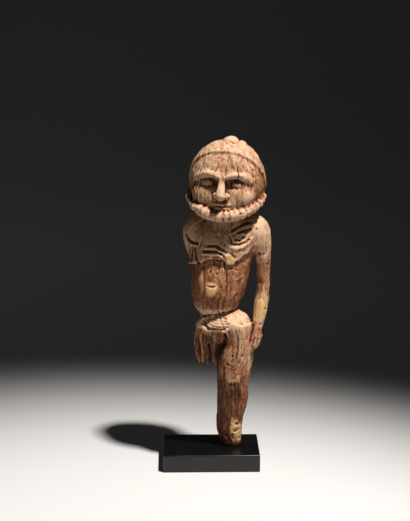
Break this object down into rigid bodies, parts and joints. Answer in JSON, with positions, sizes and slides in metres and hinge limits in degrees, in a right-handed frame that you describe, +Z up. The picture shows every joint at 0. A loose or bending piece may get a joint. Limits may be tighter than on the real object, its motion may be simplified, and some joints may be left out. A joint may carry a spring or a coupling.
{
  "type": "wooden statuette",
  "caption": "Weathered carved wooden standing figure with a notched beard, one arm at its side and one leg, on a low black rectangular plinth.",
  "frame": {"origin": "middle of the plinth's underside", "axes": "+Z up, -Y the plinth's long front side, which the figure faces within 12 degrees"},
  "size_m": [0.098, 0.0675, 0.3028],
  "materials": {
    "carved_wood": "dry weathered hardwood, worn pale on its edges",
    "black_lacquer": "satin black lacquer"
  },
  "bodies": {
    "root": {"statuette": "carved_wood", "plinth": "black_lacquer"}
  },
  "joints": []
}
